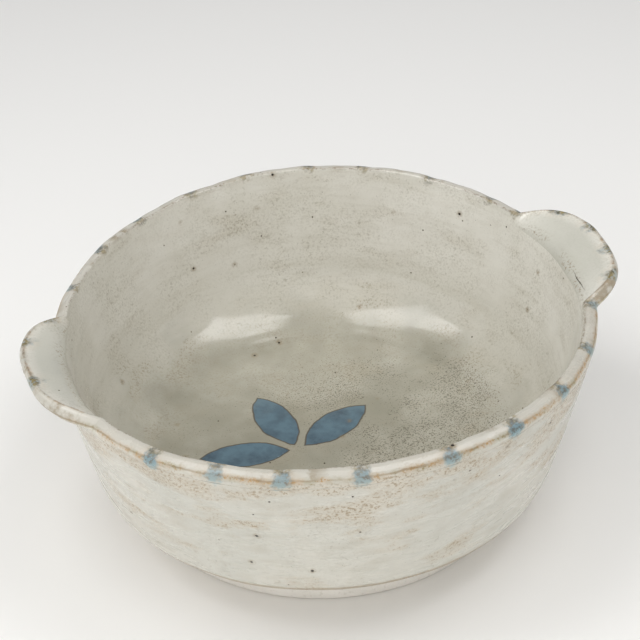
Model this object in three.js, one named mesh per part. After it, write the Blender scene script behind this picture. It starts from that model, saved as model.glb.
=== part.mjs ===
import * as THREE from 'three';
import { mergeVertices } from 'three/addons/utils/BufferGeometryUtils.js';

// A wide hand-thrown stoneware bowl with a thick lip and two lug handles, in millimetres.
// +Z is up, the handles lie along X, and the foot stands on z = 0.

// Seat on top of the thrown wall, where the lip and the lugs are luted on
const SEAT_RADIUS = 150;
const SEAT_HEIGHT = 112.5;
const JOINT_GAP = 0.3;
const WALL_THICKNESS = 8.4;

// Lip: the middle of its section, where its narrow inner edge begins to round over, and its broad outer rounding
const LIP_RADIUS = 151;
const LIP_HEIGHT = 117.1;
const LIP_INNER_EDGE = 1.3;
const LIP_OUTER_EDGE = 4;
const LIP_CROWN = 0.6;
const LIP_NECK = LIP_HEIGHT - SEAT_HEIGHT - JOINT_GAP;

// Thrown wall and floor
const BASE_EDGE_RADIUS = 120.5;
const BASE_EDGE_HEIGHT = 18.5;
const BASE_BEVEL = 1.7;
const BELLY_RADIUS = 132.5;
const BELLY_HEIGHT = 29;
const SHOULDER_RADIUS = 138;
const SHOULDER_HEIGHT = 46;
const INNER_WALL_RADIUS = 134.8;
const INNER_WALL_HEIGHT = 67.5;
const INNER_SHOULDER_RADIUS = 124.7;
const INNER_SHOULDER_HEIGHT = 46.6;
const COVE_RADIUS = 106.2;
const COVE_HEIGHT = 31.4;
const FLOOR_RADIUS = 81.4;
const FLOOR_HEIGHT = 25.5;
const WALL_SLOPE = THREE.MathUtils.degToRad(13.7);

// Foot ring
const FOOT_RADIUS = 112;
const FOOT_WIDTH = 13;
const FOOT_TAPER = 1.5;
const FOOT_EDGE = 1.2;

// Lug handles, each pulled by hand: its bearing, its spread ahead and behind in degrees, its reach and its rise
const RIGHT_LUG = { bearing: -0.7, ahead: 18.7, behind: 19.3, reach: 21.6, rise: 5.8 };
const LEFT_LUG = { bearing: 179.2, ahead: 24.8, behind: 19.5, reach: 18.9, rise: 6.8 };
const LUG_EDGE_THICKNESS = 5.4;
const LUG_TILT = THREE.MathUtils.degToRad(52);
const LUG_COVE = 9.5;

// Unevenness of the throwing, measured at the top of the rim and fading to nothing at the foot
const RIM_RADIUS = 150;
const RIM_HEIGHT = 119;
const OVAL = 3.3;
const OVAL_BEARING = THREE.MathUtils.degToRad(73);
const LOBES = 2.2;
const LOBES_BEARING = THREE.MathUtils.degToRad(-11);
const TILT = 2.7;
const TILT_BEARING = THREE.MathUtils.degToRad(-35.5);
const SADDLE = 4.3;
const SADDLE_BEARING = THREE.MathUtils.degToRad(63.5);

// Fineness of the facets
const TURN_SEGMENTS = 72;
const CURVE_DIVISIONS = 3;
const SECTION_STEP = 1.2;
const RIM_STEPS = 32;
const LUG_STEPS = 22;

// Gives a finished shape the slight oval, lobes, tilt and saddle of a bowl thrown by hand.
function throwUneven(geometry) {
  const position = geometry.attributes.position;
  for (let i = 0; i < position.count; i++) {
    const x = position.getX(i);
    const y = position.getY(i);
    const z = position.getZ(i);
    const bearing = Math.atan2(y, x);
    const outward = Math.hypot(x, y) / RIM_RADIUS;
    const upward = z / RIM_HEIGHT;
    const oval = OVAL * Math.cos(2 * (bearing - OVAL_BEARING));
    const swell = oval + LOBES * Math.cos(3 * (bearing - LOBES_BEARING));
    const saddle = SADDLE * Math.cos(2 * (bearing - SADDLE_BEARING));
    const lift = saddle + TILT * Math.cos(bearing - TILT_BEARING);
    const stretch = 1 + (swell * upward) / RIM_RADIUS;
    position.setXYZ(i, x * stretch, y * stretch, z + lift * upward * upward * outward);
  }
  return geometry;
}

// Joins the shared corners of a shape, so that it is one closed skin.
function closeSkin(geometry) {
  geometry.deleteAttribute('normal');
  geometry.deleteAttribute('uv');
  const skin = mergeVertices(geometry, 1e-3);
  skin.computeVertexNormals();
  return skin;
}

// Turns a profile of (radius, height) points about the bowl's axis.
function turnOnWheel(profile) {
  const geometry = new THREE.LatheGeometry(profile, TURN_SEGMENTS);
  geometry.rotateX(Math.PI / 2);
  return closeSkin(throwUneven(geometry));
}

// The thrown wall and floor: a bevelled base edge, a belly, a flaring wall and a coved floor.
function makeBody() {
  const underside = BASE_EDGE_HEIGHT - BASE_BEVEL;
  const half = WALL_THICKNESS / 2;
  const profile = new THREE.Path();
  profile.moveTo(0, underside);
  profile.lineTo(BASE_EDGE_RADIUS - BASE_BEVEL, underside);
  profile.lineTo(BASE_EDGE_RADIUS, BASE_EDGE_HEIGHT);
  profile.splineThru([
    new THREE.Vector2(BELLY_RADIUS, BELLY_HEIGHT),
    new THREE.Vector2(SHOULDER_RADIUS, SHOULDER_HEIGHT),
    new THREE.Vector2(SEAT_RADIUS + half, SEAT_HEIGHT),
  ]);
  profile.lineTo(SEAT_RADIUS - half, SEAT_HEIGHT);
  profile.splineThru([
    new THREE.Vector2(INNER_WALL_RADIUS, INNER_WALL_HEIGHT),
    new THREE.Vector2(INNER_SHOULDER_RADIUS, INNER_SHOULDER_HEIGHT),
    new THREE.Vector2(COVE_RADIUS, COVE_HEIGHT),
    new THREE.Vector2(FLOOR_RADIUS, FLOOR_HEIGHT),
    new THREE.Vector2(0, FLOOR_HEIGHT),
  ]);
  return turnOnWheel(profile.getPoints(CURVE_DIVISIONS));
}

// The foot ring: a tapering band with softened standing edges, luted under the floor.
function makeFoot() {
  const top = BASE_EDGE_HEIGHT - BASE_BEVEL - JOINT_GAP;
  const inner = FOOT_RADIUS - FOOT_WIDTH;
  const profile = new THREE.Path();
  profile.moveTo(FOOT_RADIUS - FOOT_TAPER - FOOT_EDGE, 0);
  profile.lineTo(FOOT_RADIUS - FOOT_TAPER, FOOT_EDGE);
  profile.lineTo(FOOT_RADIUS, top);
  profile.lineTo(inner, top);
  profile.lineTo(inner + FOOT_TAPER, FOOT_EDGE);
  profile.lineTo(inner + FOOT_TAPER + FOOT_EDGE, 0);
  profile.closePath();
  return turnOnWheel(profile.getPoints());
}

// Section of the lip: outwards across it in x, and up along it in y, from its seat to its crowned top.
// A longer neck gives the same lip more points to lean out on.
function drawLip(neck) {
  const half = WALL_THICKNESS / 2;
  const top = neck + LIP_INNER_EDGE;
  const topInside = LIP_INNER_EDGE - half;
  const topOutside = half - LIP_OUTER_EDGE;
  const outline = new THREE.Shape();
  outline.moveTo(-half, 0);
  outline.lineTo(half, 0);
  outline.lineTo(half, top - LIP_OUTER_EDGE);
  outline.absarc(topOutside, top - LIP_OUTER_EDGE, LIP_OUTER_EDGE, 0, Math.PI / 2, false);
  outline.quadraticCurveTo((topInside + topOutside) / 2, top + LIP_CROWN, topInside, top);
  outline.absarc(topInside, neck, LIP_INNER_EDGE, Math.PI / 2, Math.PI, false);
  outline.closePath();
  const points = outline.getSpacedPoints(Math.round(outline.getLength() / SECTION_STEP));
  return new THREE.Shape(points.slice(0, -1));
}

// Sweeps the lip round the rim between two bearings. `lean` says how far the lip leans out at a bearing:
// 0 is the plain lip, in line with the wall, and 1 is the full tongue of a lug, with its own reach and rise.
// The upper face leaves the wall in a cove, the underside runs straight, and the edge turns and thins with the tongue.
function sweepLip({ start, end, neck, steps, lean, reach, rise }) {
  const geometry = new THREE.ExtrudeGeometry(drawLip(neck), { depth: 1, steps, bevelEnabled: false });
  const position = geometry.attributes.position;
  const half = WALL_THICKNESS / 2;
  const seatInside = new THREE.Vector2(SEAT_RADIUS - half, SEAT_HEIGHT + JOINT_GAP);
  const seatOutside = new THREE.Vector2(SEAT_RADIUS + half, SEAT_HEIGHT + JOINT_GAP);
  const wallUp = new THREE.Vector2(Math.sin(WALL_SLOPE), Math.cos(WALL_SLOPE));
  for (let i = 0; i < position.count; i++) {
    const across = position.getX(i);
    const along = position.getY(i);
    const bearing = THREE.MathUtils.lerp(end, start, position.getZ(i));
    const leaning = lean(bearing);
    const tilt = THREE.MathUtils.lerp(WALL_SLOPE, LUG_TILT, leaning);
    const upward = new THREE.Vector2(Math.sin(tilt), Math.cos(tilt));
    const outward = new THREE.Vector2(upward.y, -upward.x);
    const thinning = THREE.MathUtils.lerp(1, LUG_EDGE_THICKNESS / WALL_THICKNESS, leaning ** 3);
    const tip = new THREE.Vector2(LIP_RADIUS + reach * leaning, LIP_HEIGHT + rise * leaning);
    const point = tip.clone().addScaledVector(outward, across * thinning).addScaledVector(upward, along - neck);
    if (along < neck) {
      const coveHeight = THREE.MathUtils.lerp(LIP_NECK / 2, LUG_COVE, leaning);
      const cove = seatInside.clone().addScaledVector(wallUp, coveHeight);
      const tipInside = tip.clone().addScaledVector(outward, -half * thinning);
      const tipOutside = tip.clone().addScaledVector(outward, half * thinning);
      const upperFace = new THREE.QuadraticBezierCurve(seatInside, cove, tipInside);
      const underside = new THREE.LineCurve(seatOutside, tipOutside);
      const depth = (across / half + 1) / 2;
      point.copy(upperFace.getPoint(along / neck)).lerp(underside.getPoint(along / neck), depth);
    }
    position.setXYZ(i, point.x * Math.cos(bearing), point.x * Math.sin(bearing), point.y);
  }
  return closeSkin(throwUneven(geometry));
}

// One stretch of plain lip, from the end of one lug round to the beginning of the next.
function makeRim(fromLug, toLug, turn) {
  const clearance = JOINT_GAP / LIP_RADIUS;
  return sweepLip({
    start: THREE.MathUtils.degToRad(fromLug.bearing + fromLug.ahead) + clearance,
    end: THREE.MathUtils.degToRad(toLug.bearing + turn - toLug.behind) - clearance,
    neck: LIP_NECK,
    steps: RIM_STEPS,
    lean: () => 0,
    reach: 0,
    rise: 0,
  });
}

// A lug: the lip leans out into a rounded tongue and comes back, with a short hollow at each side.
function makeLug({ bearing, ahead, behind, reach, rise }) {
  const lean = (angle) => {
    const aside = THREE.MathUtils.radToDeg(angle) - bearing;
    const share = Math.min(aside > 0 ? aside / ahead : -aside / behind, 1);
    return (1 - share ** 3.2) ** 1.1;
  };
  return sweepLip({
    start: THREE.MathUtils.degToRad(bearing - behind),
    end: THREE.MathUtils.degToRad(bearing + ahead),
    neck: reach,
    steps: LUG_STEPS,
    lean,
    reach,
    rise,
  });
}

const glaze = new THREE.MeshStandardMaterial({ color: 0xb4b5a8, roughness: 0.25, metalness: 0 });
const lipGlaze = new THREE.MeshStandardMaterial({ color: 0xbab6a8, roughness: 0.3, metalness: 0 });
const lugGlaze = new THREE.MeshStandardMaterial({ color: 0xbcbdb2, roughness: 0.3, metalness: 0 });
const footClay = new THREE.MeshStandardMaterial({ color: 0xc4c0b5, roughness: 0.6, metalness: 0 });

const bowl = new THREE.Group();

function addPiece(name, geometry, material) {
  const piece = new THREE.Mesh(geometry, material.clone());
  piece.name = name;
  bowl.add(piece);
}

addPiece('bowl_body', makeBody(), glaze);
addPiece('foot_ring', makeFoot(), footClay);
addPiece('rim_back', makeRim(RIGHT_LUG, LEFT_LUG, 0), lipGlaze);
addPiece('rim_front', makeRim(LEFT_LUG, RIGHT_LUG, 360), lipGlaze);
addPiece('left_lug', makeLug(LEFT_LUG), lugGlaze);
addPiece('right_lug', makeLug(RIGHT_LUG), lugGlaze);

// The bowl stands centred on the origin by its overall box.
const centre = new THREE.Box3().setFromObject(bowl).getCenter(new THREE.Vector3());
bowl.position.set(-centre.x, -centre.y, 0);

export default bowl;
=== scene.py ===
import math
import bmesh
import bpy
from mathutils import Matrix, Vector, noise
from mathutils.geometry import interpolate_bezier


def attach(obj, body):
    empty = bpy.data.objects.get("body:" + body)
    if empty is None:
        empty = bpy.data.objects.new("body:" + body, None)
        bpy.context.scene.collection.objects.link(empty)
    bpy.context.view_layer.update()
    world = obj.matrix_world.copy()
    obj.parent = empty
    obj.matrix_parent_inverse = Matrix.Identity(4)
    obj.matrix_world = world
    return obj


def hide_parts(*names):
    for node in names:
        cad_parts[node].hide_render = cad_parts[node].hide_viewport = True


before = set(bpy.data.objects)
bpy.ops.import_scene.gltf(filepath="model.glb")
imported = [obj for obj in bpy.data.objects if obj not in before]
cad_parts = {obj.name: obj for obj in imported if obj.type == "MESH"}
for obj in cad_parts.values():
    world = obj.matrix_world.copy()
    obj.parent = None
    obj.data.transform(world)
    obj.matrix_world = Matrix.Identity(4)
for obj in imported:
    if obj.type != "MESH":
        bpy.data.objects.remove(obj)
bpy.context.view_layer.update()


# The bowl: one lump of speckled stoneware thrown wide and open, with a trimmed base edge, a full belly and a
# floor that runs up into the wall in a wide cove. It moved in drying and firing, so its rim is no true circle
# and doesn't lie level. Slip was brushed on and a thin glaze poured over it, and the underside is bare clay.
mm = 0.001
rim_radius = 150 * mm
rim_height = 119 * mm
wall_half = 4.2 * mm
underside_height = 16.8 * mm
base_edge = Vector((120.5, 0, 18.5)) * mm
belly = Vector((132.5, 0, 29)) * mm
shoulder = Vector((138, 0, 46)) * mm
seat_outside = Vector((154.2, 0, 112.5)) * mm
seat_inside = Vector((145.8, 0, 112.5)) * mm
inner_wall = Vector((134.8, 0, 67.5)) * mm
inner_shoulder = Vector((124.7, 0, 46.6)) * mm
cove = Vector((106.2, 0, 31.4)) * mm
floor_edge = Vector((81.4, 0, 25.5)) * mm
floor_middle = Vector((0, 0, 25.5)) * mm
throwing_axis = Vector((-3.422, -1.033, 0)) * mm


def smooth_line(points, spacing):
    """Points on one smooth curve through the given points, about `spacing` apart."""
    line = []
    for i in range(len(points) - 1):
        start, end = points[i], points[i + 1]
        before = points[max(i - 1, 0)]
        after = points[min(i + 2, len(points) - 1)]
        count = max(1, round((end - start).length / spacing))
        handles = start + (end - before) / 6, end - (after - start) / 6
        line += interpolate_bezier(start, *handles, end, count + 1)[:-1]
    return line + [points[-1]]


def turn_on_wheel(profile, steps):
    """Turns a line of points about the throwing axis into a closed form."""
    bm = bmesh.new()
    verts = [bm.verts.new(point) for point in profile]
    edges = [bm.edges.new(pair) for pair in zip(verts, verts[1:])]
    bmesh.ops.spin(bm, geom=verts + edges, cent=(0, 0, 0), axis=(0, 0, 1),
                   angle=math.tau, steps=steps, use_merge=True)
    bmesh.ops.remove_doubles(bm, verts=bm.verts, dist=0.001 * mm)
    bmesh.ops.recalc_face_normals(bm, faces=bm.faces)
    return bm


underside_middle = Vector((0, 0, underside_height))
underside_edge = Vector((base_edge.x - 2.2 * mm, 0, underside_height))
profile = smooth_line([underside_middle, underside_edge], 4 * mm)[:-1]
trimmed_edge = [underside_edge, underside_edge + Vector((1.5, 0, 0.4)) * mm, base_edge]
profile += smooth_line(trimmed_edge, 0.6 * mm)[:-1]
profile += smooth_line([base_edge, belly, shoulder, seat_outside], 1.3 * mm)
profile += smooth_line([seat_inside, inner_wall, inner_shoulder, cove, floor_edge, floor_middle], 1.5 * mm)
bowl = turn_on_wheel(profile, 360)

# The fingers left shallow rings that climb the wall as one spiral, mostly smoothed away, and pressed it in and out.
ring_spacing = 11 * mm
ring_depth = 0.06 * mm
press_width = 45 * mm
press_depth = 0.7 * mm
ring_patch = 40 * mm
seat_margin = 16 * mm
bowl.normal_update()
bowl.verts.index_update()
on_outside = []
for vert in bowl.verts:
    radius = math.hypot(vert.co.x, vert.co.y)
    turn = math.atan2(vert.co.y, vert.co.x) / math.tau
    clear_of_seat = min(max((seat_outside.z - vert.co.z) / seat_margin, 0), 1)
    rings = math.sin(math.tau * ((radius + vert.co.z) / ring_spacing + turn))
    unevenly = max(0.3 + 1.3 * noise.noise(vert.co / ring_patch), 0)
    press = press_depth * noise.noise(vert.co / press_width)
    outward = vert.normal.x * vert.co.x + vert.normal.y * vert.co.y > 0
    on_outside.append(vert.normal.z < 0.3 and (outward or vert.normal.z < -0.5))
    if vert.co.z > underside_height + 1 * mm:
        vert.co += vert.normal * clear_of_seat * (ring_depth * rings * unevenly + press)

# Each lug has its own bearing and spread in degrees, its reach past the lip and its rise.
right_lug = {"bearing": -0.7, "ahead": 18.7, "behind": 19.3, "reach": 21.6 * mm, "rise": 5.8 * mm}
left_lug = {"bearing": 179.2, "ahead": 24.8, "behind": 19.5, "reach": 18.9 * mm, "rise": 6.8 * mm}
lug_fullness, lug_ease = 3.2, 1.1


def lug_lean(bearing, lug):
    """How far the lip leans out into a lug at a bearing: 0 is the plain lip, and 1 the middle of the lug."""
    aside = math.remainder(math.degrees(bearing) - lug["bearing"], 360)
    share = min(aside / lug["ahead"] if aside > 0 else -aside / lug["behind"], 1)
    return (1 - share ** lug_fullness) ** lug_ease


# Brush dabs sit round the lip about 14 degrees apart, and a little crowded on the lugs. Each lies on the
# lip's outer rounding, or on a lug across its edge. The numbers after the bearings are in millimetres.
dab_bearings = (220, 233, 245, 259, 276, 291, 307, 323, 339, 347, 355, 3, 11, 18, 27, 44, 61, 74, 89, 103, 118, 132,
                148, 163, 172, 187)
dab_half_width = 4.5
dab_half_height = 6
dab_below_crest = 4.6
dab_below_lug_edge = -0.6
outer_edge_distance = 4
inner_edge_distance = 2.6
crest_to_outer_seat = 9.7
crest_to_inner_seat = 8.2
crease_to_seat = 4.5
far_from_crease = 99


def mark_rim(bm, crest_distance, crease_distance):
    """Keeps, for the glaze, where each point is from the crest, the crease of a lug and the nearest brush dab."""
    new = bm.verts.layers.float.new
    from_crest, from_crease, leaning = new("from_crest"), new("from_crease"), new("leaning")
    dab_across, dab_down, dab_weight = new("dab_across"), new("dab_down"), new("dab_weight")
    for vert in bm.verts:
        bearing = math.atan2(vert.co.y, vert.co.x)
        away = [math.remainder(math.degrees(bearing) - dab, 360) for dab in dab_bearings]
        nearest = min(range(len(away)), key=lambda i: abs(away[i]))
        dab = math.radians(dab_bearings[nearest])
        chance = math.sin(7 * dab_bearings[nearest])
        on_lug = 1 if max(lug_lean(dab, right_lug), lug_lean(dab, left_lug)) > 0.4 else 0
        middle = dab_below_lug_edge if on_lug else dab_below_crest
        vert[from_crest] = crest_distance(vert)
        vert[from_crease] = crease_distance(vert)
        vert[leaning] = max(lug_lean(bearing, right_lug), lug_lean(bearing, left_lug))
        half_width = dab_half_width + 0.5 * chance
        vert[dab_across] = math.radians(abs(away[nearest])) * rim_radius / mm / half_width
        vert[dab_down] = (vert[from_crest] - middle - 0.7 * chance) / dab_half_height
        vert[dab_weight] = 0.85 + 0.15 * chance - 0.35 * on_lug


def bowl_crest_distance(vert):
    """How far down from the crest a point is, with the reach of a lug added. It is below zero inside."""
    bearing = math.atan2(vert.co.y, vert.co.x)
    below = (seat_outside.z - vert.co.z) / mm
    for lug in right_lug, left_lug:
        below += lug_lean(bearing, lug) * lug["reach"] / mm
    return crest_to_outer_seat + below if on_outside[vert.index] else -crest_to_inner_seat - below


def bowl_crease_distance(vert):
    """How far a point inside the bowl is below the crease of a lug, as a value below zero."""
    if on_outside[vert.index]:
        return far_from_crease
    return -crease_to_seat - (seat_inside.z - vert.co.z) / mm


mark_rim(bowl, bowl_crest_distance, bowl_crease_distance)

oval, oval_bearing = 3.3 * mm, math.radians(73)
lobes, lobes_bearing = 2.2 * mm, math.radians(-11)
tilt, tilt_bearing = 2.7 * mm, math.radians(-35.5)
saddle, saddle_bearing = 4.3 * mm, math.radians(63.5)
wobble, wobble_length = 0.7 * mm, 26 * mm


def move_as_fired(bm):
    """Gives a true form the oval, lobes, tilt, saddle and wobble of the fired bowl, and stands it in the frame."""
    for vert in bm.verts:
        x, y, z = vert.co
        bearing = math.atan2(y, x)
        outward = math.hypot(x, y) / rim_radius
        upward = z / rim_height
        along_rim = Vector((math.cos(bearing), math.sin(bearing), 0)) * rim_radius / wobble_length
        swell = oval * math.cos(2 * (bearing - oval_bearing))
        swell += lobes * math.cos(3 * (bearing - lobes_bearing))
        swell += wobble * noise.noise(along_rim) * upward
        lift = tilt * math.cos(bearing - tilt_bearing)
        lift += saddle * math.cos(2 * (bearing - saddle_bearing))
        lift += wobble * noise.noise(along_rim + Vector((0, 0, 7))) * upward
        stretch = 1 + swell * upward / rim_radius
        vert.co = x * stretch, y * stretch, z + lift * upward * upward * outward
    bmesh.ops.translate(bm, vec=throwing_axis, verts=bm.verts)


def linear(hex_colour):
    """An sRGB hex colour as linear values with full alpha."""
    channels = [int(hex_colour[i:i + 2], 16) / 255 for i in (1, 3, 5)]
    return (*(c / 12.92 if c <= 0.04045 else ((c + 0.055) / 1.055) ** 2.4 for c in channels), 1)


def add(tree, kind, inputs, **settings):
    """Adds a node with its settings, and its inputs set or linked, and gives its first live output."""
    node = tree.nodes.new("ShaderNode" + kind)
    for name, value in settings.items():
        setattr(node, name, value)
    for socket, value in inputs.items():
        if isinstance(value, bpy.types.NodeSocket):
            tree.links.new(value, node.inputs[socket])
        else:
            node.inputs[socket].default_value = value
    return next((output for output in node.outputs if output.enabled), None)


def attribute(tree, name):
    """One of the values kept on the mesh."""
    return add(tree, "Attribute", {}, attribute_name=name).node.outputs["Fac"]


def fade(tree, value, start, end, amount=1, kind="LINEAR"):
    """0 at one value, and `amount` at another and beyond it."""
    span = {"Value": value, "From Min": start, "From Max": end, "To Max": amount}
    return add(tree, "MapRange", span, interpolation_type=kind)


def math_of(tree, operation, *values):
    """The result of one sum."""
    return add(tree, "Math", dict(enumerate(values)), operation=operation)


def product(tree, *values):
    """All the values multiplied together."""
    result = values[0]
    for value in values[1:]:
        result = math_of(tree, "MULTIPLY", result, value)
    return result


def scaled(tree, value, factor, start):
    """A value times a factor, added to a start."""
    return math_of(tree, "MULTIPLY_ADD", value, factor, start)


def length_of(tree, vector):
    """The length of a vector."""
    return add(tree, "VectorMath", {0: vector}, operation="LENGTH")


def noise_of(tree, vector, size, detail=3):
    """Soft noise with features of one size, in millimetres."""
    scale = 1 / (size * mm)
    return add(tree, "TexNoise", {"Vector": vector, "Scale": scale, "Detail": detail, "Roughness": 0.6})


def mottle(tree, vector, size, start, end, amount=1, detail=3):
    """Noise with features of one size, in millimetres, cut to patches between two of its values."""
    return fade(tree, noise_of(tree, vector, size, detail), start, end, amount)


def beside(tree, value, line, far, near, amount=1):
    """A band along a line: nothing beyond the far distance from it, and `amount` within the near one."""
    away = math_of(tree, "ABSOLUTE", math_of(tree, "SUBTRACT", value, line))
    return fade(tree, away, far, near, amount)


def tint(tree, amount, colour, over):
    """Lays one colour over another. A colour is a hex value or the result of other nodes."""
    under, upper = (linear(layer) if isinstance(layer, str) else layer for layer in (colour, over))
    return add(tree, "Mix", {0: amount, 6: under, 7: upper}, data_type="RGBA")


def empty_material(name):
    """A material with no nodes but one, and with it the place of each point on the object."""
    material = bpy.data.materials.new(name)
    material.use_nodes = True
    tree = material.node_tree
    tree.nodes.clear()
    return material, tree, add(tree, "TexCoord", {}).node.outputs["Object"]


def stoneware_glaze(name, paint):
    """A thin, glossy grey-green glaze over brushed white slip: creamy outside and greyer inside, painted paler on the
    right inside as painted light and darker down the inside wall as painted shade, and darkest on the floor, where it
    pooled and where shade is painted too. The slip's brush marks show as long smudges, iron in the clay as tan
    speckle and freckles, and burst bubbles as dark pinholes. `paint` adds what belongs to one piece."""
    material, tree, place = empty_material(name)
    axes = add(tree, "SeparateXYZ", {"Vector": place}).node.outputs
    from_crest = attribute(tree, "from_crest")
    inside = fade(tree, from_crest, 1, -4, kind="SMOOTHSTEP")

    # Glaze tones drift over about 60 mm. Inside, the right side is painted paler as painted light, the wall is painted
    # greyer and darker down towards the floor as painted shade, and the floor is darkest, partly pooled glaze and
    # partly painted shade.
    cream, cool_cream = "#d5d2c7", "#cccbc1"
    ash, painted_light_ash, painted_shade_ash, pooled_glaze_and_shade, drab = "#d6d3c9", "#e8e6dd", "#a8a493", "#8f8c7c", "#bab6a6"
    drift = mottle(tree, place, 60, 0.35, 0.65)
    outside_tone = tint(tree, drift, cream, cool_cream)
    depth = scaled(tree, drift, 14 * mm, axes["Z"])
    # Painted light: the inside is painted paler towards the right, where the key light falls.
    inside_tone = tint(tree, fade(tree, axes["X"], 60 * mm, 140 * mm, 0.45), ash, painted_light_ash)
    # Painted shade: the inside wall is painted greyer and darker down towards the floor.
    inside_tone = tint(tree, fade(tree, depth, 78 * mm, 56 * mm, 0.42), inside_tone, painted_shade_ash)
    # The floor is painted darkest: partly glaze that pooled there, and partly painted shade.
    inside_tone = tint(tree, fade(tree, depth, 57 * mm, 27 * mm, kind="SMOOTHSTEP"), inside_tone, pooled_glaze_and_shade)
    inside_tone = tint(tree, product(tree, drift, 0.35), inside_tone, drab)
    colour = tint(tree, inside, outside_tone, inside_tone)

    # Slip brushed on as the wheel turned: smudges 30 mm long and 8 mm high, thin in some places and thick in others,
    # and clouds of about 9 mm, all fainter inside, with fine brush lines through them.
    thin_slip, thick_slip, cloudy_slip, brush_line = "#a89b84", "#e6e3d8", "#b0a997", "#a29c88"
    fainter_inside = fade(tree, inside, 2.2, 0)
    turned = add(tree, "Mapping", {"Vector": place, "Scale": (1, 1, 4)})
    brushing = noise_of(tree, turned, 30, 2)
    thin = product(tree, fade(tree, brushing, 0.53, 0.68, 0.15), fainter_inside)
    colour = tint(tree, thin, colour, thin_slip)
    thick = product(tree, fade(tree, brushing, 0.46, 0.32, 0.12), fainter_inside)
    colour = tint(tree, thick, colour, thick_slip)
    clouds = product(tree, mottle(tree, place, 9, 0.46, 0.66, 0.15, detail=4), fainter_inside)
    colour = tint(tree, clouds, colour, cloudy_slip)
    lined = add(tree, "Mapping", {"Vector": place, "Scale": (1, 1, 11)})
    colour = tint(tree, mottle(tree, lined, 35, 0.52, 0.7, 0.15, detail=5), colour, brush_line)

    # Iron in the clay bleeds through as fine sandy grain, most of all inside, and as tan grains of about 0.8 mm, in
    # patches, most of all under the lip outside.
    sand, outer_patch, inner_patch = "#8b836e", "#c6b293", "#b3a993"
    outer_iron, inner_iron = "#937b58", "#766a52"
    sandy = product(tree, mottle(tree, place, 28, 0.3, 0.62, 0.3),
                    mottle(tree, place, 1.3, 0.46, 0.68, detail=2), fade(tree, inside, -0.7, 1))
    colour = tint(tree, sandy, colour, sand)
    banded = add(tree, "Mapping", {"Vector": place, "Scale": (1, 1, 3)})
    under_lip = product(tree, fade(tree, from_crest, 48, 14), fade(tree, from_crest, 5, 9))
    patches = scaled(tree, under_lip, 0.14, noise_of(tree, banded, 45))
    patches = product(tree, fade(tree, patches, 0.54, 0.67), fade(tree, inside, 2.6, 0))
    colour = tint(tree, product(tree, patches, 0.26), colour, tint(tree, inside, outer_patch, inner_patch))
    speckle = product(tree, patches, mottle(tree, place, 1.4, 0.52, 0.62, detail=2))
    colour = tint(tree, product(tree, speckle, 0.7), colour, tint(tree, inside, outer_iron, inner_iron))

    # Freckles of about 0.5 mm lie thick on one side of the floor, with faint, larger ones scattered on the wall.
    freckle, faint_freckle = "#5a5342", "#7f7560"
    crowd = product(tree, mottle(tree, place, 50, 0.36, 0.56), fade(tree, axes["X"], -130 * mm, 20 * mm),
                    fade(tree, axes["Y"], 95 * mm, 35 * mm), fade(tree, axes["Z"], 38 * mm, 29 * mm), inside)
    freckles = scaled(tree, crowd, 0.2, noise_of(tree, place, 0.9, 1))
    colour = tint(tree, fade(tree, freckles, 0.72, 0.82, 0.7), colour, freckle)
    scattered = mottle(tree, place, 2.6, 0.6, 0.68, 0.25, detail=2)
    scattered = product(tree, scattered, mottle(tree, place, 30, 0.48, 0.64))
    colour = tint(tree, scattered, colour, faint_freckle)

    colour = paint(tree, place, from_crest, colour)

    # Pinholes: a few of nearly 2 mm, each in a rusty stain, and more of about 1 mm. For each kind, the spacing, the
    # radius of the hole and that of its stain are in millimetres.
    rust, pit = "#84704f", "#2c271f"
    relief = product(tree, brushing, 0.006)
    for spacing, core, stain, strength in (24, 1, 2.8, 0.6), (13, 0.55, 0.9, 0.35):
        seeds = add(tree, "TexVoronoi", {"Vector": place, "Scale": 1 / (spacing * mm)})
        ring = fade(tree, seeds, stain / spacing, core / spacing, strength)
        ring = product(tree, ring, mottle(tree, place, 2, 0.35, 0.55))
        hole = fade(tree, seeds, core / spacing, 0.7 * core / spacing)
        colour = tint(tree, ring, colour, rust)
        colour = tint(tree, hole, colour, pit)
        relief = scaled(tree, hole, -0.4, relief)

    # The skin of the glaze, in millimetres: the slip's brush marks, the pits, and a soft ripple about 6 mm across with
    # a finer one on it, strongest inside. It is glossiest inside and driest over the iron.
    ripple = scaled(tree, noise_of(tree, place, 1.8), 0.16, noise_of(tree, place, 6))
    ripple = product(tree, ripple, fade(tree, inside, -0.5, 1, 0.025))
    relief = math_of(tree, "ADD", ripple, relief)
    normal = add(tree, "Bump", {"Height": relief, "Distance": 1 * mm, "Strength": 1})
    brushed = {"Value": brushing, "From Min": 0.35, "From Max": 0.75, "To Min": 0.22, "To Max": 0.4}
    roughness = product(tree, add(tree, "MapRange", brushed), fade(tree, inside, 1.9, 0))
    roughness = scaled(tree, speckle, 0.25, roughness)
    glossy = {"Base Color": colour, "Roughness": roughness, "Normal": normal, "IOR": 1.55}
    add(tree, "OutputMaterial", {"Surface": add(tree, "BsdfPrincipled", glossy)})
    return material


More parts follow.
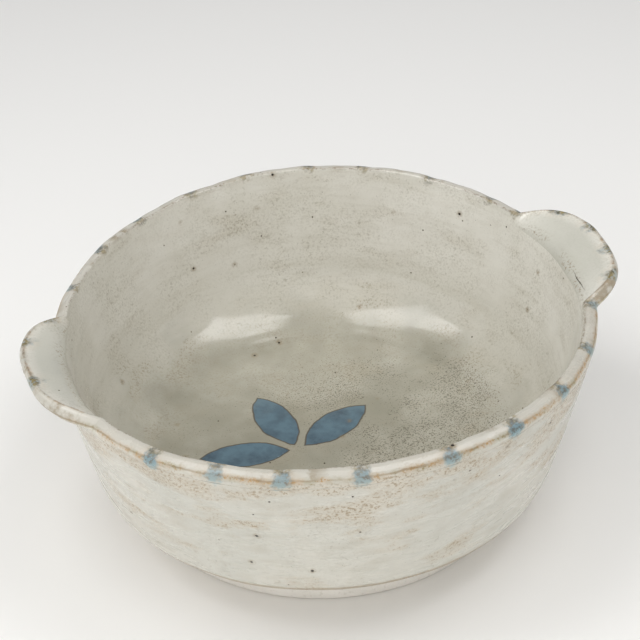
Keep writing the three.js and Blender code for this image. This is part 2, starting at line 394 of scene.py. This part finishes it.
def paint_lip(tree, place, from_crest, colour):
    """A crest toned down from white as painted shade, since it faces up into the light, iron brown where the glaze ran
    thin on its edges, and mottled cobalt dabs brushed over it.
    """
    painted_shade_crest = "#bbb7ac"
    mottling = noise_of(tree, place, 3.2, 4)
    leaning = attribute(tree, "leaning")
    grains = mottle(tree, place, 1.4, 0.5, 0.62, detail=2)
    spread = noise_of(tree, place, 30)
    # Painted shade: the crest, which faces up into the light, is toned darker than the wall.
    colour = tint(tree, beside(tree, from_crest, 1, 4.8, 2.4, 0.75), colour, painted_shade_crest)

    # An ochre line along the outer edge of the plain lip, olive in places and broken every few centimetres, a brown
    # hairline beside it, a rubbed inner edge, and brown marbling in places and on the flanks of the lugs.
    ochre_glaze, olive_glaze = "#a98552", "#8c8158"
    hairline_brown, rubbed_brown, marble_brown = "#85704e", "#6c5b45", "#8a7b60"
    wander = scaled(tree, mottling, 3, outer_edge_distance - 0.7)
    ochre = product(tree, beside(tree, from_crest, wander, 2.5, 0.4, 0.95), fade(tree, spread, 0.32, 0.48),
                    fade(tree, leaning, 0.6, 0), fade(tree, grains, -0.8, 1))
    ochre_tone = tint(tree, mottle(tree, place, 12, 0.48, 0.6), ochre_glaze, olive_glaze)
    colour = tint(tree, ochre, colour, ochre_tone)
    wander = scaled(tree, noise_of(tree, place, 12), 2.4, outer_edge_distance - 0.8)
    hairline = beside(tree, from_crest, wander, 0.7, 0.25, 0.6)
    hairline = product(tree, hairline, mottle(tree, place, 20, 0.34, 0.58))
    colour = tint(tree, hairline, colour, hairline_brown)
    rubbed = product(tree, beside(tree, from_crest, -inner_edge_distance, 1.2, 0.3, 0.75),
                     fade(tree, grains, -0.6, 1), fade(tree, spread, 0.6, 0.45))
    colour = tint(tree, rubbed, colour, rubbed_brown)
    flank = product(tree, fade(tree, leaning, 0, 0.12), fade(tree, leaning, 1, 0.8))
    marbled = math_of(tree, "MAXIMUM", flank, mottle(tree, place, 50, 0.5, 0.6))
    marbling = product(tree, mottle(tree, place, 9, 0.46, 0.58, 0.7, detail=6),
                       beside(tree, from_crest, 1, 6, 3), marbled)
    colour = tint(tree, marbling, colour, marble_brown)

    # Each dab is about 8 mm wide: rusty at its sides, blue and paler towards its foot, with dark specks where it is
    # thick, and olive brown where it crosses the crest and the glaze ran off it.
    rusty_side, deep_cobalt, pale_cobalt, thick_speck = "#ab8b60", "#4f7585", "#94b1b5", "#47463f"
    olive_brown, dark_olive = "#87784c", "#4a4733"
    across = attribute(tree, "dab_across")
    down = attribute(tree, "dab_down")
    reach = add(tree, "CombineXYZ", {"X": across, "Y": down})
    wider = add(tree, "VectorMath", {0: reach, 1: (0.45, 0.8, 0)}, operation="MULTIPLY")
    stain = product(tree, fade(tree, length_of(tree, wider), 1.2, 0.6, 0.15), fade(tree, mottling, 0.42, 0.58))
    colour = tint(tree, stain, colour, rusty_side)
    ragged = scaled(tree, mottling, 1.7, length_of(tree, reach))
    dab = product(tree, fade(tree, ragged, 2.05, 1.5, 0.9), attribute(tree, "dab_weight"))
    cobalt = tint(tree, fade(tree, down, -0.7, 0.9), deep_cobalt, pale_cobalt)
    thick = scaled(tree, down, -0.1, noise_of(tree, place, 2))
    cobalt = tint(tree, fade(tree, thick, 0.48, 0.62, 0.8), cobalt, thick_speck)
    colour = tint(tree, dab, colour, cobalt)
    crossing = scaled(tree, leaning, -0.1, scaled(tree, from_crest, 0.27, 0.4))
    over = add(tree, "CombineXYZ", {"X": across, "Y": crossing})
    over = scaled(tree, mottling, 1.4, length_of(tree, over))
    over = product(tree, fade(tree, over, 1.9, 1.4, 0.9), mottle(tree, place, 2.4, 0.4, 0.54),
                   fade(tree, leaning, -0.7, 0.4))
    return tint(tree, over, colour, tint(tree, mottle(tree, place, 3, 0.45, 0.6), olive_brown, dark_olive))


# The crack runs along the right lug's root towards the front, on a line that is straight in plan.
crack_slope = 0.138
crack_line = 146.2 * mm
crack_middle = -29 * mm
crack_length = 24 * mm


def paint_crease(tree, place, colour):
    """A lug's root: dark grains where the glaze crawled back from the crease, and a drying crack in the right one."""
    grain_brown, crack_shade = "#836f54", "#40382d"
    from_crease = attribute(tree, "from_crease")
    leaning = attribute(tree, "leaning")
    axes = add(tree, "SeparateXYZ", {"Vector": place}).node.outputs
    grains = product(tree, beside(tree, from_crease, 0, 6, 1.5), mottle(tree, place, 1.4, 0.53, 0.63, detail=2),
                     mottle(tree, place, 18, 0.42, 0.6, 0.6), fade(tree, leaning, 0, 0.3))
    colour = tint(tree, grains, colour, grain_brown)
    wander = scaled(tree, noise_of(tree, place, 6), 1.2 * mm, axes["X"])
    wander = scaled(tree, axes["Y"], -crack_slope, wander)
    crack = product(tree, beside(tree, wander, crack_line, 0.35 * mm, 0.1 * mm, 0.9),
                    beside(tree, axes["Y"], crack_middle, crack_length / 2, 3 * mm),
                    math_of(tree, "LESS_THAN", from_crease, 20))
    return tint(tree, crack, colour, crack_shade)


leaf_length, leaf_width = 52 * mm, 22 * mm
leaf_bearings = (98, 28, 168)
sprig_root = Vector((-20, -6, 0)) * mm


def paint_bowl(tree, place, from_crest, colour):
    """A rusty line low on the belly with thin glaze under it, and a sprig of three brushed leaves on the floor, blue
    inside a thin brown outline."""
    thin_glaze, edge_brown = "#b5a78c", "#9c886a"
    thin_blue, pooled_blue, outline_brown = "#506e7e", "#2f4a5c", "#4d4232"
    height = add(tree, "SeparateXYZ", {"Vector": place}).node.outputs["Z"]
    outside = math_of(tree, "GREATER_THAN", from_crest, 0)
    low = scaled(tree, noise_of(tree, place, 12, 4), 3 * mm, height)
    thinned = product(tree, fade(tree, low, 31 * mm, 28 * mm, 0.35), outside)
    colour = tint(tree, thinned, colour, thin_glaze)
    edge = product(tree, beside(tree, low, 30.5 * mm, 2.8 * mm, 1.2 * mm, 0.75), outside)
    colour = tint(tree, edge, colour, edge_brown)

    # Each leaf is the overlap of two discs; the brush shook by about half a millimetre.
    shake = add(tree, "TexNoise", {"Vector": place, "Scale": 1 / (12 * mm)}).node.outputs["Color"]
    shaken = add(tree, "VectorMath", {0: shake, 1: (3 * mm, 3 * mm, 0), 2: place}, operation="MULTIPLY_ADD")
    disc = (leaf_length ** 2 + leaf_width ** 2) / (4 * leaf_width)
    disc_aside = (0, disc - leaf_width / 2, 0)
    sprig = 1
    for bearing in leaf_bearings:
        angle = math.radians(bearing)
        centre = sprig_root + Vector((math.cos(angle), math.sin(angle), 0)) * 0.6 * leaf_length
        laid = {"Vector": shaken, "Location": centre, "Rotation": (0, 0, angle)}
        leaf = add(tree, "Mapping", laid, vector_type="TEXTURE")
        leaf = add(tree, "VectorMath", {0: leaf}, operation="ABSOLUTE")
        leaf = add(tree, "VectorMath", {0: leaf, 1: (1, 1, 0), 2: disc_aside}, operation="MULTIPLY_ADD")
        sprig = math_of(tree, "MINIMUM", sprig, math_of(tree, "SUBTRACT", length_of(tree, leaf), disc))
    on_floor = math_of(tree, "LESS_THAN", height, 45 * mm)
    on_floor = product(tree, on_floor, math_of(tree, "LESS_THAN", from_crest, 0))
    wash = product(tree, fade(tree, sprig, 0.4 * mm, -0.4 * mm, 0.9), on_floor)
    blue = tint(tree, mottle(tree, place, 14, 0.4, 0.66, detail=5), thin_blue, pooled_blue)
    colour = tint(tree, wash, colour, blue)
    stroke = product(tree, beside(tree, sprig, 0, 0.7 * mm, 0.2 * mm, 0.8), on_floor)
    colour = tint(tree, stroke, colour, outline_brown)
    return paint_lip(tree, place, from_crest, paint_crease(tree, place, colour))


def bare_stoneware(name):
    """Wiped stoneware: a dry, pale buff clay with dark iron grains, and a film of pale glaze up a foot's sides,
    painted whiter than the wall as painted light where the foot sits in shade under the belly.
    """
    buff, dark_buff, white_film_and_painted_light, grey_film_and_painted_light, iron = "#c6b89e", "#ab9c81", "#f2eee6", "#eae6dd", "#85714f"
    material, tree, place = empty_material(name)
    height = add(tree, "SeparateXYZ", {"Vector": place}).node.outputs["Z"]
    drift = noise_of(tree, place, 20, 5)
    clay = tint(tree, fade(tree, drift, 0.35, 0.65), buff, dark_buff)
    film = fade(tree, scaled(tree, drift, 1 * mm, height), 0.7 * mm, 1.2 * mm)
    film = product(tree, film, math_of(tree, "LESS_THAN", height, underside_height - 0.1 * mm))
    # The film is real pale glaze, painted whiter than the wall as painted light on the shaded foot.
    glaze = tint(tree, fade(tree, drift, 0.4, 0.65), white_film_and_painted_light, grey_film_and_painted_light)
    colour = tint(tree, film, clay, glaze)
    grains = product(tree, mottle(tree, place, 2, 0.6, 0.68, 0.5, detail=2), fade(tree, film, 1.5, 0))
    colour = tint(tree, grains, colour, iron)
    grit = noise_of(tree, place, 1.2, 4)
    normal = add(tree, "Bump", {"Height": grit, "Distance": 0.2 * mm, "Strength": 1})
    roughness = add(tree, "MapRange", {"Value": film, "To Min": 0.85, "To Max": 0.35})
    dry = {"Base Color": colour, "Roughness": roughness, "Normal": normal, "IOR": 1.5}
    add(tree, "OutputMaterial", {"Surface": add(tree, "BsdfPrincipled", dry)})
    return material


def make_piece(name, bm, node, slot, *materials):
    """Makes a mesh a piece of the bowl that stands for its node."""
    bmesh.ops.recalc_face_normals(bm, faces=bm.faces)
    for face in bm.faces:
        face.smooth = True
    mesh = bpy.data.meshes.new(name)
    bm.to_mesh(mesh)
    bm.free()
    mesh.set_sharp_from_angle(angle=math.radians(50))
    for material in materials:
        mesh.materials.append(material)
    piece = bpy.data.objects.new(name, mesh)
    bpy.context.collection.objects.link(piece)
    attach(piece, "root")
    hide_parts(node)


for face in bowl.faces:
    face.material_index = 1 if face.calc_center_median().z < underside_height + 0.01 * mm else 0
move_as_fired(bowl)
bowl_glaze = stoneware_glaze("thrown_bowl_glaze", paint_bowl)
wiped_clay = bare_stoneware("wiped_stoneware")
make_piece("thrown_bowl", bowl, "bowl_body", "bowl_glaze", bowl_glaze, wiped_clay)


# The foot: a ring of the same clay turned under the base. The glaze runs thin on its sides and was wiped off
# the standing face, which shows the bare, sandy stoneware.
foot_radius = 112 * mm
foot_width = 13 * mm
foot_taper = 1.5 * mm
foot_edge = 1.2 * mm
foot_inner = foot_radius - foot_width
foot_outline = [
    Vector((foot_inner, 0, underside_height)),
    Vector((foot_inner + foot_taper, 0, foot_edge)),
    Vector((foot_inner + foot_taper + foot_edge, 0, 0)),
    Vector((foot_radius - foot_taper - foot_edge, 0, 0)),
    Vector((foot_radius - foot_taper, 0, foot_edge)),
    Vector((foot_radius, 0, underside_height)),
    Vector((foot_inner, 0, underside_height)),
]
foot = turn_on_wheel(foot_outline, 240)
move_as_fired(foot)
make_piece("turned_foot", foot, "foot_ring", "foot_clay", wiped_clay)


# The lip: the top of the wall, left thick, with a crowned top, a narrow inner edge and a broad rounding outside, in
# two stretches between the lugs. It is luted to the wall and uneven from the fingers that wiped it.
wall_slope = math.radians(13.7)
lip_middle = Vector((151, 0, 117.1)) * mm
lip_neck = lip_middle.z - seat_inside.z
lip_inner_edge = 1.3 * mm
lip_outer_edge = 4 * mm
lip_crown = 0.3 * mm
crest_middle = (lip_inner_edge - lip_outer_edge) / 2
crest_half = wall_half - (lip_inner_edge + lip_outer_edge) / 2
lip_unevenness = 0.09
lip_unevenness_length = 11 * mm
lug_tilt = math.radians(52)
lug_cove = 9.5 * mm
lug_edge = 5.4 * mm
lip_spacing = 0.8 * mm
plain = {"reach": 0, "rise": 0}


def lean_out(across, along, neck, leaning, lug):
    """Where a point of the lip's section goes as the lip leans out from the wall."""
    tilt_here = wall_slope + (lug_tilt - wall_slope) * leaning
    upward = Vector((math.sin(tilt_here), 0, math.cos(tilt_here)))
    outward = Vector((upward.z, 0, -upward.x))
    thinning = 1 + (lug_edge / (2 * wall_half) - 1) * leaning ** 3
    tip = lip_middle + Vector((lug["reach"], 0, lug["rise"])) * leaning
    if along >= neck:
        return tip + outward * across * thinning + upward * (along - neck)
    share = along / neck
    turn_height = lip_neck / 2 + (lug_cove - lip_neck / 2) * leaning
    turn_point = seat_inside + Vector((math.sin(wall_slope), 0, math.cos(wall_slope))) * turn_height
    tip_inside = tip - outward * wall_half * thinning
    upper = seat_inside.lerp(turn_point, share).lerp(turn_point.lerp(tip_inside, share), share)
    under = seat_outside.lerp(tip + outward * wall_half * thinning, share)
    return upper.lerp(under, (across / wall_half + 1) / 2)


def draw_lip(bm, neck):
    """Draws the lip's section on its seat: a slab with its upper edges rounded, each in its own way, and a crown."""
    bmesh.ops.create_grid(bm, x_segments=1, y_segments=1, size=0.5)
    bmesh.ops.rotate(bm, matrix=Matrix.Rotation(math.pi / 2, 3, "X"), cent=(0, 0, 0), verts=bm.verts)
    bmesh.ops.translate(bm, vec=(0, 0, 0.5), verts=bm.verts)
    bmesh.ops.scale(bm, vec=(2 * wall_half, 1, neck + lip_inner_edge), verts=bm.verts)
    upper_corners = [vert for vert in bm.verts if vert.co.z > neck]
    inner_corner, outer_corner = sorted(upper_corners, key=lambda vert: vert.co.x)
    for corner, rounding in (inner_corner, lip_inner_edge), (outer_corner, lip_outer_edge):
        bmesh.ops.bevel(bm, geom=[corner], offset=rounding, offset_type="OFFSET", affect="VERTICES",
                        segments=8, profile=0.5, material=-1)
    bmesh.ops.delete(bm, geom=bm.faces[:], context="FACES_ONLY")
    above_seat = [edge for edge in bm.edges if edge.verts[0].co.z + edge.verts[1].co.z > 0]
    for edge in [edge for edge in above_seat if edge.calc_length() > lip_spacing]:
        bmesh.ops.subdivide_edges(bm, edges=[edge], cuts=round(edge.calc_length() / lip_spacing))
    for vert in bm.verts:
        from_middle = abs(vert.co.x - crest_middle) / crest_half
        if vert.co.z > neck and from_middle < 1:
            vert.co.z += lip_crown * (1 - from_middle ** 2)


def roll_lip(start, end, neck, lug, lean):
    """Takes the lip's section along the top of the wall between two bearings, leaning out as `lean` says."""
    bm = bmesh.new()
    draw_lip(bm, neck)
    bmesh.ops.translate(bm, vec=(rim_radius, 0, 0), verts=bm.verts)
    bmesh.ops.rotate(bm, matrix=Matrix.Rotation(start, 3, "Z"), cent=(0, 0, 0), verts=bm.verts)
    steps = round((end - start) * rim_radius / lip_spacing)
    bmesh.ops.spin(bm, geom=bm.verts[:] + bm.edges[:], cent=(0, 0, 0), axis=(0, 0, 1),
                   angle=end - start, steps=steps)
    bmesh.ops.holes_fill(bm, edges=[edge for edge in bm.edges if edge.is_boundary])
    bm.verts.index_update()
    sections = [(math.hypot(vert.co.x, vert.co.y) - rim_radius, vert.co.z) for vert in bm.verts]

    def crest_distance(vert):
        across, along = sections[vert.index]
        leaning = lean(math.atan2(vert.co.y, vert.co.x))
        rounding = lip_outer_edge if across > crest_middle else lip_inner_edge
        aside = abs(across - crest_middle)
        down = neck + lip_inner_edge - rounding - along
        round_edge = rounding * math.atan2(max(aside - crest_half, 0), max(-down, 0))
        down_side = max(down, 0) / neck * (lip_neck + lug["reach"] * leaning)
        return math.copysign(min(aside, crest_half) + round_edge + down_side, across - crest_middle) / mm

    def crease_distance(vert):
        across, along = sections[vert.index]
        return along / mm - crease_to_seat if across < 0 and along < neck else far_from_crease

    mark_rim(bm, crest_distance, crease_distance)
    for vert, (across, along) in zip(bm.verts, sections):
        bearing = math.atan2(vert.co.y, vert.co.x)
        along_rim = Vector((math.cos(bearing), math.sin(bearing), 0)) * rim_radius / lip_unevenness_length
        along *= 1 + lip_unevenness * noise.noise(along_rim) * lip_neck / neck
        across *= 1 + lip_unevenness * noise.noise(along_rim + Vector((0, 0, 5))) * min(along / lip_neck, 1)
        point = lean_out(across, along, neck, lean(bearing), lug)
        vert.co = point.x * math.cos(bearing), point.x * math.sin(bearing), point.z
    move_as_fired(bm)
    return bm


lip_glaze = stoneware_glaze("iron_edged_lip_glaze", paint_lip)
right_end = math.radians(right_lug["bearing"] + right_lug["ahead"])
left_start = math.radians(left_lug["bearing"] - left_lug["behind"])
left_end = math.radians(left_lug["bearing"] + left_lug["ahead"])
right_start = math.radians(right_lug["bearing"] - right_lug["behind"])
back_lip = roll_lip(right_end, left_start, lip_neck, plain, lambda bearing: 0)
make_piece("back_lip", back_lip, "rim_back", "lip_glaze", lip_glaze)
front_lip = roll_lip(left_end, right_start + math.tau, lip_neck, plain, lambda bearing: 0)
make_piece("front_lip", front_lip, "rim_front", "lip_glaze", lip_glaze)


# The lugs: at each end the lip leans out and runs into a rounded tongue, thumbed down in the middle, that the
# fingers go under. Each is pulled from its own piece of clay and luted on, with a speckled crease at its root.
def paint_lug(tree, place, from_crest, colour):
    """A greyer, thinner glaze on the tongue's face, darkened as painted shade since it faces up into the light, brown
    stains on its upper edge, and what the lip has.
    """
    thin_glaze, dark_stain, light_stain = "#b4b3a7", "#7d6a49", "#a5835a"
    leaning = attribute(tree, "leaning")
    # The face is a greyer glaze, darkened further as painted shade because it faces up into the light.
    face = product(tree, fade(tree, from_crest, -3, -8, 0.75), leaning)
    colour = tint(tree, face, colour, thin_glaze)
    stains = product(tree, beside(tree, from_crest, -inner_edge_distance, 1.8, 0.6, 0.8),
                     fade(tree, leaning, 0, 0.4), mottle(tree, place, 10, 0.5, 0.6, detail=5))
    stain_tone = tint(tree, mottle(tree, place, 12, 0.45, 0.55), dark_stain, light_stain)
    colour = tint(tree, stains, colour, stain_tone)
    return paint_lip(tree, place, from_crest, paint_crease(tree, place, colour))


lug_glaze = stoneware_glaze("thumbed_lug_glaze", paint_lug)
left = roll_lip(left_start, left_end, left_lug["reach"], left_lug, lambda bearing: lug_lean(bearing, left_lug))
make_piece("left_thumbed_lug", left, "left_lug", "lug_glaze", lug_glaze)
right = roll_lip(right_start, right_end, right_lug["reach"], right_lug, lambda bearing: lug_lean(bearing, right_lug))
make_piece("right_thumbed_lug", right, "right_lug", "lug_glaze", lug_glaze)


# The studio: a plain pale floor, a small soft box high at either side of the bowl, a broad white screen in front on
# either side, a faint low one between them, and an even room.
floor_mesh = bpy.data.meshes.new("studio_floor")
floor_bm = bmesh.new()
bmesh.ops.create_grid(floor_bm, x_segments=1, y_segments=1, size=6)
floor_bm.to_mesh(floor_mesh)
floor_bm.free()
floor = bpy.data.objects.new("studio_floor", floor_mesh)
bpy.context.collection.objects.link(floor)
floor_paint = bpy.data.materials.new("studio_floor_paint")
floor_paint.use_nodes = True
floor_paint.node_tree.nodes["Principled BSDF"].inputs["Base Color"].default_value = linear("#f2f1ee")
floor_paint.node_tree.nodes["Principled BSDF"].inputs["Roughness"].default_value = 0.8
floor_mesh.materials.append(floor_paint)

room = bpy.data.worlds.new("studio_room")
room.use_nodes = True
room.node_tree.nodes["Background"].inputs["Color"].default_value = linear("#fafafc")
room.node_tree.nodes["Background"].inputs["Strength"].default_value = 0.35
bpy.context.scene.world = room

view_bearing = math.radians(-17.25)
view_right = Vector((math.cos(view_bearing), math.sin(view_bearing), 0))
look_at = throwing_axis + view_right * 0.15 * mm + Vector((0, 0, 107.25)) * mm


def towards(bearing_from_view, elevation):
    """The direction from the bowl to something seen at a bearing from the camera's and an elevation."""
    bearing = view_bearing + math.radians(bearing_from_view)
    level = math.cos(math.radians(elevation))
    return Vector((math.sin(bearing) * level, -math.cos(bearing) * level, math.sin(math.radians(elevation))))


def light(name, bearing_from_view, elevation, distance, width, height, watts):
    """Hangs a soft light that faces the bowl. Angles are in degrees, and its distance and size in metres."""
    lamp = bpy.data.lights.new(name, "AREA")
    lamp.shape = "RECTANGLE"
    lamp.size = width
    lamp.size_y = height
    lamp.energy = watts
    soft_light = bpy.data.objects.new(name, lamp)
    facing = towards(bearing_from_view, elevation)
    turn = facing.to_track_quat("Z", "Y").to_matrix().to_4x4()
    soft_light.matrix_world = Matrix.Translation(look_at + facing * distance) @ turn
    bpy.context.collection.objects.link(soft_light)


light("left_soft_box", -82, 61, 1.1, 0.42, 0.78, 4)
light("right_soft_box", 86, 64, 1.1, 0.42, 0.62, 3.2)
light("left_screen", -46, 30, 3, 6, 5.4, 78)
light("right_screen", 54, 30, 3, 6, 5.4, 41)
light("low_screen", 0, 16, 2.4, 5, 1.4, 4)

camera_data = bpy.data.cameras.new("studio_camera")
camera_data.lens = 90
camera_data.sensor_width = 36
camera_data.clip_start = 0.01
studio_camera = bpy.data.objects.new("studio_camera", camera_data)
bpy.context.collection.objects.link(studio_camera)
camera_distance = 892.8 * mm
camera_elevation = 33.798
camera_roll = -0.041
back = towards(0, camera_elevation)
level_right = Vector((0, 0, 1)).cross(back).normalized()
aim = Matrix((level_right, back.cross(level_right), back)).transposed() @ Matrix.Rotation(camera_roll, 3, "Z")
studio_camera.matrix_world = Matrix.Translation(look_at + back * camera_distance) @ aim.to_4x4()
bpy.context.scene.camera = studio_camera
bpy.context.scene.view_settings.view_transform = "Standard"
